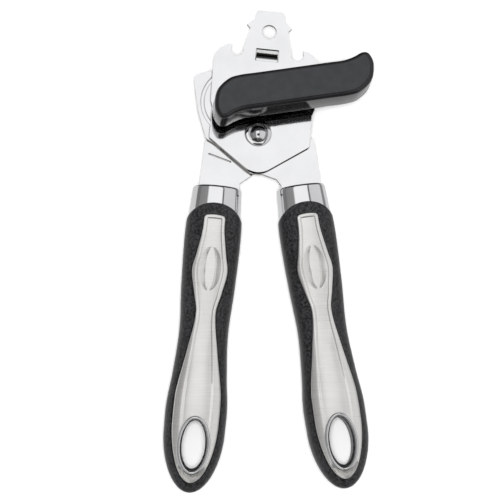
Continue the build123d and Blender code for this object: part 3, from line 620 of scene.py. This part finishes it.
def finish_of(name):
    """A finish by name, made once."""
    known = bpy.data.materials.get(name)
    if known:
        return known
    dark = tuple(colours().knob)
    makers = {
        # (0.16, 0.145, 0.13) is the painted shade for the plates' tilted walls and bends.
        "plate_chrome": lambda: chrome_material(name, 0.045, (0.16, 0.145, 0.13)),
        "trim_chrome": lambda: chrome_material(name, 0.03),
        "brushed_inlay": lambda: brushed_material(name),
        "turned_steel": lambda: machined_material(name, tinted(tuple(colours().gear), 1.3), 0.22),
        "gear_steel": lambda: machined_material(name, tuple(colours().gear), 0.32),
        "soft_rubber": lambda: rubber_material(name),
        "knob_gloss": lambda: moulded_material(name, dark, 0.10, 0.16, (90.0, 2.0, 0.00002),
                                               tinted(dark, 1.6)),
        "knob_satin": lambda: moulded_material(name, tuple(colours().knob_face), 0.34, 0.46,
                                               (1500.0, 2.0, 0.00002), tinted(dark, 5.0)),
        "core_nylon": lambda: moulded_material(name, tinted(dark, 4.0), 0.4, 0.6,
                                               (700.0, 2.0, 0.00003), tinted(dark, 6.0)),
    }
    return makers[name]()


def coat(piece, *names):
    """Gives a piece its finishes, in order."""
    piece.data.materials.clear()
    for name in names:
        piece.data.materials.append(finish_of(name))


def break_edges(part, width, segments):
    """Bevels a part's sharp edges."""
    edge = part.modifiers.new("broken edge", "BEVEL")
    edge.width = width
    edge.segments = segments
    edge.limit_method = "ANGLE"
    edge.angle_limit = radians(40)
    return edge


# ------------------------------------------------------------------ handle pieces
def ring_at(drop_of, half_sizes, grow=0.0):
    """Ring round the handle; drop_of gives the drop at a distance from the axis."""
    ring = []
    for step in range(RING):
        angle = 2 * pi * step / RING
        x, drop = 0.0, drop_of(0.0)
        for _ in range(4):
            half_width, half_thickness = half_sizes(drop)
            x, z = squared_oval(angle, half_width + grow, half_thickness + grow)
            drop = drop_of(x)
        ring.append((x, -drop, HANDLE_HEIGHT + z))
    return ring


def grip_mesh(side):
    """Egg-ended grip with an arched, rounded upper end."""
    rings = [[(0.0, -(ARCH_CENTRE - ARCH_RADIUS + 6.0), HANDLE_HEIGHT)]]
    for rise, inset in ((5.0, 6.0), (0.6, 3.2), (0.0, 2.2)):
        rings.append(ring_at(lambda x, rise=rise: arch_drop(x) + rise, handle_half_sizes, -inset))
    for step in range(7):
        turn = pi / 2 * step / 6
        rings.append(ring_at(lambda x, rise=GRIP_LIP * (1 - cos(turn)): arch_drop(x) + rise,
                             handle_half_sizes, -GRIP_LIP * (1 - sin(turn))))
    rows = 110
    for step in range(1, rows + 1):
        share = step / rows
        rings.append(ring_at(lambda x, share=share: ((arch_drop(x) + GRIP_LIP) * (1 - share)
                                                     + CAP_START * share), handle_half_sizes))
    cap_rows = 34
    for step in range(1, cap_rows):
        drop = CAP_START + (HANDLE_TIP - CAP_START) * sin(pi / 2 * step / cap_rows)
        rings.append(ring_at(lambda x, drop=drop: drop, handle_half_sizes))
    rings.append([(0.0, -HANDLE_TIP, HANDLE_HEIGHT)])
    return mesh_piece(f"{side}_soft_grip", *rings_to_faces(rings), handle_place(side))


def slab_rows(first, last):
    """Drops down the inlay, close together where its shape turns."""
    near = (0.0, 0.12, 0.3, 0.7, 1.2, 1.6, 1.85, 2.0)
    rows = [first + step for step in near]
    count = 190
    rows += [first + 2.0 + (last - first - 6.0) * k / count for k in range(1, count + 1)]
    tail = 24
    rows += [last - 4.0 + 3.97 * sin(pi / 2 * k / tail) for k in range(1, tail + 1)]
    return rows


def border_at(drop, half_width):
    """Width of the inlay's raised lip."""
    return min(eased(BORDERS, drop), 0.45 * half_width)


def slab_columns(drop, half_width):
    """Positions across the inlay, with lines along its border."""
    border = border_at(drop, half_width)
    edge = [half_width - border * share for share in (0.0, 0.06, 0.16, 0.3, 0.5, 0.7, 0.85, 1.0)]
    inner = half_width - border * 1.06
    middle = [inner * (1 - 2 * k / 60) for k in range(61)]
    return [*edge, *middle, *[-x for x in reversed(edge)]]


def slab(name, side, grow, top, bottom):
    """Closed slab over the inlay's outline, between two surfaces."""
    upper, lower = [], []
    for drop in slab_rows(INLAY_TOP - grow, INLAY_TIP + grow):
        inside = min(max(drop, INLAY_TOP), INLAY_TIP - 0.02)
        half_width = inlay_half_width(inside) + grow
        columns = slab_columns(inside, half_width)
        upper.append([(x, bowed(x, drop), top(x, drop, half_width)) for x in columns])
        lower.append([(x, bowed(x, drop), bottom(x, drop)) for x in columns])
    points, faces = rings_to_faces(upper, closed=False)
    count, width = len(points), len(upper[0])
    faces += [tuple(count + index for index in reversed(face)) for face in faces]
    points += [point for row in lower for point in row]
    rows = len(upper)
    for row in range(rows - 1):
        for column in (0, width - 1):
            a, b = row * width + column, (row + 1) * width + column
            faces.append((a, b, b + count, a + count))
    for start in (0, (rows - 1) * width):
        for column in range(width - 1):
            a = start + column
            faces.append((a, a + 1, a + 1 + count, a + count))
    return mesh_piece(name, points, faces, handle_place(side), 32.0)


def inlay_relief(x, drop, half_width):
    """How far the inlay's face lies below its crown."""
    from_edge = min(half_width - abs(x), drop - INLAY_TOP)
    border = border_at(drop, half_width)
    wall = SINK_SHARE * border
    relief = EDGE_DROP * max(0.0, 1 - from_edge / EDGE_ROLL) ** 2
    relief -= LIP_LIFT * min(max((border - from_edge) / border, 0.0), 1.0)
    relief += FACE_SINK * min(max((from_edge - border + wall) / wall, 0.0), 1.0)
    along = (drop - DISH_AT) / DISH_HALF_LENGTH
    if abs(along) < 1:
        oval = sqrt(1 - along ** 2)
        rim, spine = DISH_HALF_WIDTH * oval, SPINE_HALF_WIDTH * oval
        if abs(x) > spine:
            slope = (rim - abs(x)) / max(rim - spine, 0.05)
            depth = sizes().dish_depth / MM * min(1.0, 1.4 * oval)
            relief += depth * max(min(slope, (abs(x) - spine) / SPINE_WALL), 0.0)
    from_eye = hypot(x / EYE_HALF_WIDTH, (drop - EYE_AT) / EYE_HALF_LENGTH)
    heel = (from_eye - 1.0) * EYE_HALF_LENGTH - (HEEL_FROM - EYE_AT - EYE_HALF_LENGTH)
    if drop > EYE_AT and heel > 0:
        depth = HEEL_SLOPE * min(heel, HEEL_TO - HEEL_FROM)
        below_eye = min(max(3 * ((drop - EYE_AT) / EYE_HALF_LENGTH - 0.75), 0.0), 1.0)
        inside_edge = min(max((from_edge - 0.5) / 0.5, 0.0), 1.0)
        relief += depth * below_eye * inside_edge
    return relief


def eye_prism(side, at, half_width, half_length, levels):
    """Oval bar through the eye; levels are (height, how much wider)."""
    rings = [[(0.0, -at, levels[0][0])]]
    turns = [2 * pi * k / RING for k in range(RING)]
    for height, wide in levels:
        rings.append([((half_width + wide) * cos(turn), -at + (half_length + wide) * sin(turn), height)
                      for turn in turns])
    rings.append([(0.0, -at, levels[-1][0])])
    return mesh_piece("eye_cutter", *rings_to_faces(rings), handle_place(side))


def rim_mesh(side):
    """Rolled rim that follows the inlay's surface round the eye."""
    proud = sizes().inlay_proud / MM
    rings = []
    tube = 20
    for k in range(RING + 1):
        turn = 2 * pi * (k % RING) / RING
        outward = Vector((cos(turn) / EYE_HALF_WIDTH, sin(turn) / EYE_HALF_LENGTH)).normalized()
        x = (EYE_HALF_WIDTH + RIM_RADIUS) * cos(turn)
        y = -EYE_AT + (EYE_HALF_LENGTH + RIM_RADIUS) * sin(turn)
        level = handle_top(x, -y) + proud + 0.05
        ring = []
        for step in range(tube):
            roll = 2 * pi * step / tube
            side_step = RIM_RADIUS * cos(roll)
            sink = 1.6 if sin(roll) < -0.2 and cos(roll) < 0 else 1.0
            ring.append((x + outward.x * side_step, y + outward.y * side_step,
                         level + RIM_RADIUS * sin(roll) * sink))
        rings.append(ring)
    rim = mesh_piece("eye_rim", *rings_to_faces(rings), handle_place(side), 60.0)
    coat(rim, "trim_chrome")
    return rim


def inlay_mesh(side):
    proud = sizes().inlay_proud / MM
    face = slab(f"{side}_steel_inlay", side, 0.0,
                lambda x, drop, half: handle_top(x, drop) + proud - inlay_relief(x, drop, half),
                lambda x, drop: handle_top(x, drop) - INLAY_DEPTH)
    carve(face, eye_prism(side, EYE_AT, EYE_HALF_WIDTH + 0.1, EYE_HALF_LENGTH + 0.1,
                          ((0, 0), (ABOVE_ALL, 0))))
    soften(face.data, 32.0)
    coat(face, "brushed_inlay")
    return joined(face, rim_mesh(side))


def ferrule_half_sizes(drop):
    share = (drop - FERRULE_TOP) / (FERRULE_FOOT - FERRULE_TOP)
    return tuple(low + share * (high - low)
                 for low, high in (FERRULE_HALF_WIDTHS, FERRULE_HALF_THICKNESSES))


def ferrule_foot(x):
    """Where the ferrule's foot lies, at a distance from the handle's axis."""
    return arch_drop(x) + FERRULE_OVERLAP


def ferrule_mesh(side):
    """Chromed cap with a rounded shoulder and an arched foot."""
    steps = 7
    rings = [[(0.0, -FERRULE_TOP, HANDLE_HEIGHT)]]
    for inset in (6.0, 3.0):
        rings.append(ring_at(lambda x: FERRULE_TOP, ferrule_half_sizes, -inset))
    for step in range(steps + 1):
        turn = pi / 2 * step / steps
        rings.append(ring_at(lambda x, turn=turn: FERRULE_TOP + FERRULE_SHOULDER * (1 - cos(turn)),
                             ferrule_half_sizes, -FERRULE_SHOULDER * (1 - sin(turn))))
    rows = 14
    top = FERRULE_TOP + FERRULE_SHOULDER
    for step in range(1, rows + 1):
        rings.append(ring_at(lambda x, share=step / rows: top + (ferrule_foot(x) - top) * share,
                             ferrule_half_sizes))
    for inset, rise in ((0.8, 0.0), (0.9, 3.0)):
        rings.append(ring_at(lambda x, rise=rise: ferrule_foot(x) - rise, ferrule_half_sizes,
                             -inset))
    rings.append([(0.0, -(FERRULE_TOP + 4.0), HANDLE_HEIGHT)])
    return mesh_piece(f"{side}_chrome_ferrule", *rings_to_faces(rings), handle_place(side), 50.0)


# ------------------------------------------------------------------ operators
class OPENER_OT_plates(bpy.types.Operator):
    """Chrome the sheet-metal plates and break their edges"""

    bl_idname = "can_opener.plates"
    bl_label = "Plates and arms"

    def execute(self, context):
        for name in ("front_plate", "left_arm", "right_arm", "plate_spacers"):
            plate = frame["nodes"][name]
            coat(plate, "plate_chrome")
            break_edges(plate, sizes().plate_edge, 3).harden_normals = True
        return {"FINISHED"}


class OPENER_OT_pivot(bpy.types.Operator):
    """Turn the domed pivot rivet, its washer and the spindle's flanged bushing"""

    bl_idname = "can_opener.pivot"
    bl_label = "Pivot and bushing"

    def execute(self, context):
        place = axle_place("handle_pivot")
        low, high = (corner.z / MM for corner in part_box("pivot_rivet"))
        seat, rim = (corner.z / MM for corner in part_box("pivot_washer"))
        dome, rise = 4.2, high - rim
        ball = (dome ** 2 + rise ** 2) / (2 * rise)
        steps = 14
        cap = [(ball * sin(turn), high - ball + ball * cos(turn))
               for turn in (asin(dome / ball) * k / steps for k in range(steps, -1, -1))]
        rivet = lathe("domed_rivet", [(0, low), (4.1, low), (4.5, low + 0.4), (4.5, low + 1.4),
                                      (3, low + 1.4), (3, rim + 0.01), *cap], place)
        coat(rivet, "trim_chrome")
        finish_piece(rivet, "left_lever", "chrome_trim", "pivot_rivet")
        washer = lathe("pivot_ring", [(3.1, seat), (5.6, seat), (5.6, rim - 0.35),
                                      (5.48, rim - 0.1), (5.25, rim), (3.1, rim)], place)
        coat(washer, "trim_chrome")
        finish_piece(washer, "left_lever", "chrome_trim", "pivot_washer")
        foot, top = (corner.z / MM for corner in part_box("spindle_bushing"))
        bush = lathe("flanged_bush", [(3.55, foot), (5.05, foot), (5.05, seat), (6.2, seat),
                                      (6.2, top - 0.3), (6.0, top - 0.06), (5.8, top), (3.8, top),
                                      (3.55, top - 0.25)], axle_place("knob_spin"))
        coat(bush, "turned_steel")
        finish_piece(bush, "left_lever", "machined_steel", "spindle_bushing")
        return {"FINISHED"}


class OPENER_OT_ferrules(bpy.types.Operator):
    """Make the chromed ferrules at the top of the handles"""

    bl_idname = "can_opener.ferrules"
    bl_label = "Ferrules"

    def execute(self, context):
        for side in SIDES:
            piece = ferrule_mesh(side)
            coat(piece, "trim_chrome")
            finish_piece(piece, f"{side}_lever", "chrome_trim", f"{side}_ferrule")
        return {"FINISHED"}


class OPENER_OT_grips(bpy.types.Operator):
    """Mould the rubber grips with their inlay pockets and eyes"""

    bl_idname = "can_opener.grips"
    bl_label = "Grips"

    def execute(self, context):
        for side in SIDES:
            piece = grip_mesh(side)
            groove = sizes().groove / MM
            pocket = slab("pocket_cutter", side, groove, lambda x, drop, half: 24.0,
                          lambda x, drop: handle_top(x, drop) - INLAY_DEPTH - 0.05)
            carve(piece, pocket)
            carve(piece, eye_prism(side, THROAT_AT, THROAT_HALF_WIDTH, THROAT_HALF_LENGTH,
                                   THROAT_LEVELS))
            soften(piece.data, 38.0)
            coat(piece, "soft_rubber")
            finish_piece(piece, f"{side}_lever", "grip_rubber", f"{side}_grip")
        return {"FINISHED"}


class OPENER_OT_inlays(bpy.types.Operator):
    """Press the brushed inlays with their thumb dishes and rolled eye rims"""

    bl_idname = "can_opener.inlays"
    bl_label = "Inlays"

    def execute(self, context):
        for side in SIDES:
            finish_piece(inlay_mesh(side), f"{side}_lever", "inlay_steel", f"{side}_inlay")
        return {"FINISHED"}


class OPENER_OT_knob(bpy.types.Operator):
    """Mould the hollow turning knob with its ribs and hub"""

    bl_idname = "can_opener.knob"
    bl_label = "Turning knob"

    def execute(self, context):
        low, high = (corner.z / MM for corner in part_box("turn_knob"))
        half = [(x, -KNOB_HALF_WIDTH) for x in (-KNOB_STRAIGHT, -14.0, 0.0, 14.0, KNOB_STRAIGHT)]
        half += list(reversed(KNOB_NOSE))
        control = [*half, *[(-x, -y) for x, y in half]]
        outline = rounded_loop([(x, y, 0) for x, y in control], 8)
        draft = sizes().knob_draft / MM
        outer = [(KNOB_RIM, 0.2), (KNOB_RIM + 0.12, 0.05), (KNOB_RIM + 0.4, 0.0)]
        outer += [(high - KNOB_ROUND * (1 - sin(turn)), draft + KNOB_ROUND * (1 - cos(turn)))
                  for turn in (pi / 2 * k / 10 for k in range(11))]
        rings = []
        for level, inset in outer:
            rings.append([(p.x, p.y, level) for p in drawn_in(outline, inset)])
        points, faces = rings_to_faces(rings)
        count = len(outline)
        faces.append(tuple(range(len(points) - count, len(points))))
        hollow = [(KNOB_RIM + rise, inset) for rise, inset in KNOB_HOLLOW]
        hollow.append((high - KNOB_CEILING, KNOB_CEILING_INSET))
        inner = []
        for level, inset in hollow:
            inner.append([(p.x, p.y, level) for p in drawn_in(outline, inset)])
        more, inner_faces = rings_to_faces(inner)
        faces += [tuple(index + len(points) for index in face) for face in inner_faces]
        points += more
        faces.append(tuple(range(len(points) - count, len(points))))
        place = axle_place("knob_spin", KNOB_TURN)
        knob = mesh_piece("turning_knob", points, faces, place, 30.0)
        coat(knob, "knob_gloss", "knob_satin")
        face = max(knob.data.polygons, key=lambda polygon: polygon.center.z)
        face.material_index = 1
        parts = []
        for x in KNOB_RIBS:
            shaped = bmesh.new()
            bmesh.ops.create_cube(shaped, size=1.0)
            depth = high - KNOB_RIM - 2 * RIB_GAP
            bmesh.ops.scale(shaped, verts=shaped.verts,
                            vec=(RIB_THICKNESS * MM, 2 * RIB_REACH * MM, depth * MM))
            bmesh.ops.translate(shaped, verts=shaped.verts,
                                vec=(x * MM, 0, (KNOB_RIM + RIB_GAP + depth / 2) * MM))
            mesh = bpy.data.meshes.new("knob_rib")
            shaped.to_mesh(mesh)
            shaped.free()
            rib = bpy.data.objects.new("knob_rib", mesh)
            bpy.context.scene.collection.objects.link(rib)
            rib.matrix_world = place
            parts.append(rib)
        end = high - HUB_TOP
        parts.append(lathe("knob_hub", [(HUB_BORE, low), (HUB_RADIUS - 0.3, low),
                                        (HUB_RADIUS, low + 0.3), (HUB_RADIUS, end),
                                        (HUB_BORE, end)], place))
        for part in parts:
            coat(part, "knob_gloss")
            soften(part.data, 30.0)
        joined(knob, *parts)
        finish_piece(knob, "spindle", "knob_plastic", "turn_knob")
        return {"FINISHED"}


class OPENER_OT_cutting(bpy.types.Operator):
    """Finish the gears, wheels, shaft and stud, and turn the cutting wheel"""

    bl_idname = "can_opener.cutting"
    bl_label = "Cutting works"

    def execute(self, context):
        low, high = (corner.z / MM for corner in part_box("cutter_wheel"))
        profile = [(3.56, low), (9.1, low), (11.42, low + 0.03), (11.5, low + 0.08),
                   (8.7, low + 1.5), (8.3, low + 1.6), (5.3, low + 1.6), (5.0, low + 1.8),
                   (5.0, high - 0.15), (4.85, high), (3.56, high)]
        disc = lathe("cutting_wheel", profile, axle_place("cutter_spin"), 128)
        coat(disc, "gear_steel")
        finish_piece(disc, "cutter", "gear_steel", "cutter_wheel")
        finishes = {"gear_steel": ("drive_gear", "feed_wheel", "cutter_gear"),
                    "turned_steel": ("drive_shaft", "thrust_washer", "cutter_stud", "cutter_spacer",
                                     "cutter_bush", "left_tang_pins", "right_tang_pins"),
                    "core_nylon": ("left_core", "right_core")}
        for finish, names in finishes.items():
            for name in names:
                part = frame["nodes"][name]
                coat(part, finish)
                break_edges(part, 0.12 * MM, 2)
        return {"FINISHED"}


class OPENER_OT_stage(bpy.types.Operator):
    """Lay the pale floor, hang the soft lights and stand the camera"""

    bl_idname = "can_opener.stage"
    bl_label = "Stage"

    def execute(self, context):
        bpy.ops.mesh.primitive_plane_add(size=FLOOR_SIZE, location=(0, 0, FLOOR_LEVEL))
        floor = context.object
        floor.name = "pale_floor"
        floor.data.materials.append(floor_material())
        floor.visible_glossy = False
        for name, at, size, power in LAMPS:
            lamp = bpy.data.lights.new(name, "AREA")
            lamp.size = size
            lamp.energy = power
            stand = bpy.data.objects.new(name, lamp)
            context.scene.collection.objects.link(stand)
            stand.location = at
            stand.rotation_mode = "QUATERNION"
            stand.rotation_quaternion = Vector(at).to_track_quat("Z", "Y")
            stand.visible_glossy = False
            stand.visible_camera = False
        hang_studio(context)
        stand_camera(context)
        context.scene.view_settings.view_transform = "Standard"
        context.scene.view_settings.look = "None"
        return {"FINISHED"}


def hang_studio(context):
    """Soft surroundings: a bright panel overhead, cards either side and a dark spot."""
    world = bpy.data.worlds.new("studio")
    context.scene.world = world
    world.use_nodes = True
    tree = world.node_tree
    coordinates = tree.nodes.new("ShaderNodeTexCoord")
    parts = tree.nodes.new("ShaderNodeSeparateXYZ")
    tree.links.new(coordinates.outputs["Generated"], parts.inputs["Vector"])
    swing = calculated(tree, "ARCTAN2", parts.outputs["X"], parts.outputs["Z"])
    share = tree.nodes.new("ShaderNodeMapRange")
    share.inputs["From Min"].default_value = -pi
    share.inputs["From Max"].default_value = pi
    tree.links.new(swing, share.inputs["Value"])
    cards = tree.nodes.new("ShaderNodeValToRGB")
    stops = cards.color_ramp.elements
    while len(stops) > 1:
        stops.remove(stops[-1])
    for index, (degrees, level) in enumerate(STUDIO_CARDS):
        position = degrees / 360 + 0.5
        stop = stops[0] if index == 0 else stops.new(position)
        stop.position = position
        stop.color = (level, level, level, 1.0)
    tree.links.new(share.outputs["Result"], cards.inputs["Fac"])
    depth = calculated(tree, "ABSOLUTE", parts.outputs["Y"])
    ends = ramp(tree, depth, (1, 1, 1), (STUDIO_END,) * 3, 0.62, 0.8)
    aim = tree.nodes.new("ShaderNodeVectorMath")
    aim.operation = "DOT_PRODUCT"
    aim.inputs[1].default_value = Vector(SPOT_AIM).normalized()
    tree.links.new(coordinates.outputs["Generated"], aim.inputs[0])
    outer, inner = (cos(radians(degrees)) for degrees in SPOT_DEGREES)
    spot = ramp(tree, aim.outputs["Value"], (1, 1, 1), (SPOT_LEVEL,) * 3, outer, inner)
    level = cards.outputs["Color"]
    for other in (ends, spot):
        level = multiplied(tree, level, other)
    tree.links.new(level, tree.nodes["Background"].inputs["Color"])


def stand_camera(context):
    """Camera high above the opener, a little to the left of it and below it."""
    lens = bpy.data.cameras.new("camera")
    camera = bpy.data.objects.new("camera", lens)
    context.scene.collection.objects.link(camera)
    low, high = CAD_BOX
    target = Vector(((low.x + high.x) / 2, (low.y + high.y) / 2, 0.0)) + Vector(CAMERA_AIM)
    left, down = (tan(radians(lean)) for lean in CAMERA_LEANS)
    away = Vector((-left, -down, 1.0)).normalized()
    camera.location = target + away * CAMERA_DISTANCE
    camera.rotation_mode = "QUATERNION"
    side = Vector((0, 1, 0)).cross(away).normalized()
    upward = away.cross(side)
    camera.rotation_quaternion = Matrix((side, upward, away)).transposed().to_quaternion()
    lens.sensor_width = 36.0
    lens.lens = CAMERA_LENS
    lens.clip_start = 0.01
    context.scene.camera = camera


class OPENER_PT_panel(bpy.types.Panel):
    """Lists the opener's pieces in the sidebar"""

    bl_idname = "OPENER_PT_panel"
    bl_label = "Can Opener"
    bl_space_type = "VIEW_3D"
    bl_region_type = "UI"
    bl_category = "Can Opener"

    def draw(self, context):
        for group in (context.scene.opener_sizes, context.scene.opener_colours):
            for name in group.bl_rna.properties.keys():
                if name not in ("rna_type", "name"):
                    self.layout.prop(group, name)
        for maker in OPERATORS:
            self.layout.operator(maker.bl_idname)


OPERATORS = (OPENER_OT_stage, OPENER_OT_plates, OPENER_OT_pivot, OPENER_OT_ferrules,
             OPENER_OT_grips, OPENER_OT_inlays, OPENER_OT_knob, OPENER_OT_cutting)
CLASSES = (OpenerSizes, OpenerColours, *OPERATORS, OPENER_PT_panel)


def register():
    for each in CLASSES:
        bpy.utils.register_class(each)
    bpy.types.Scene.opener_sizes = PointerProperty(type=OpenerSizes)
    bpy.types.Scene.opener_colours = PointerProperty(type=OpenerColours)


def unregister():
    del bpy.types.Scene.opener_colours
    del bpy.types.Scene.opener_sizes
    for each in reversed(CLASSES):
        bpy.utils.unregister_class(each)


def main():
    register()
    for maker in OPERATORS:
        group, name = maker.bl_idname.split(".")
        getattr(getattr(bpy.ops, group), name)()


if __name__ == "__main__":
    main()
